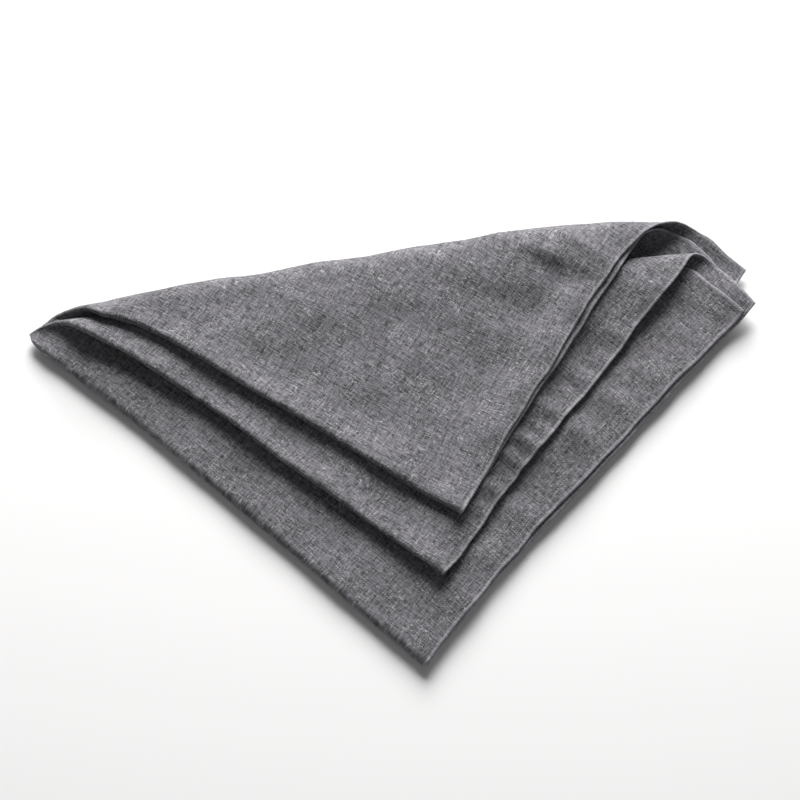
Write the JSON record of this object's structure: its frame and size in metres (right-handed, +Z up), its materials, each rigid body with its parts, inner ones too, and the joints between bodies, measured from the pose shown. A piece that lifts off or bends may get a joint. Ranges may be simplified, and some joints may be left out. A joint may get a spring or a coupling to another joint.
{
  "type": "folded cloth napkin",
  "caption": "Square linen napkin folded in quarters and then over its diagonal, with its two pairs of layers fanned apart.",
  "frame": {"origin": "middle of the napkin's footprint, on the surface it lies on", "axes": "+X from the pointed tip towards the open ends, along the ridge of the fold; +Z up, square to the table; +Y across the fold, towards the ridge"},
  "size_m": [0.317, 0.202, 0.018],
  "materials": {
    "linen": "matte washed linen"
  },
  "bodies": {
    "root": {"napkin": "linen"}
  },
  "joints": []
}
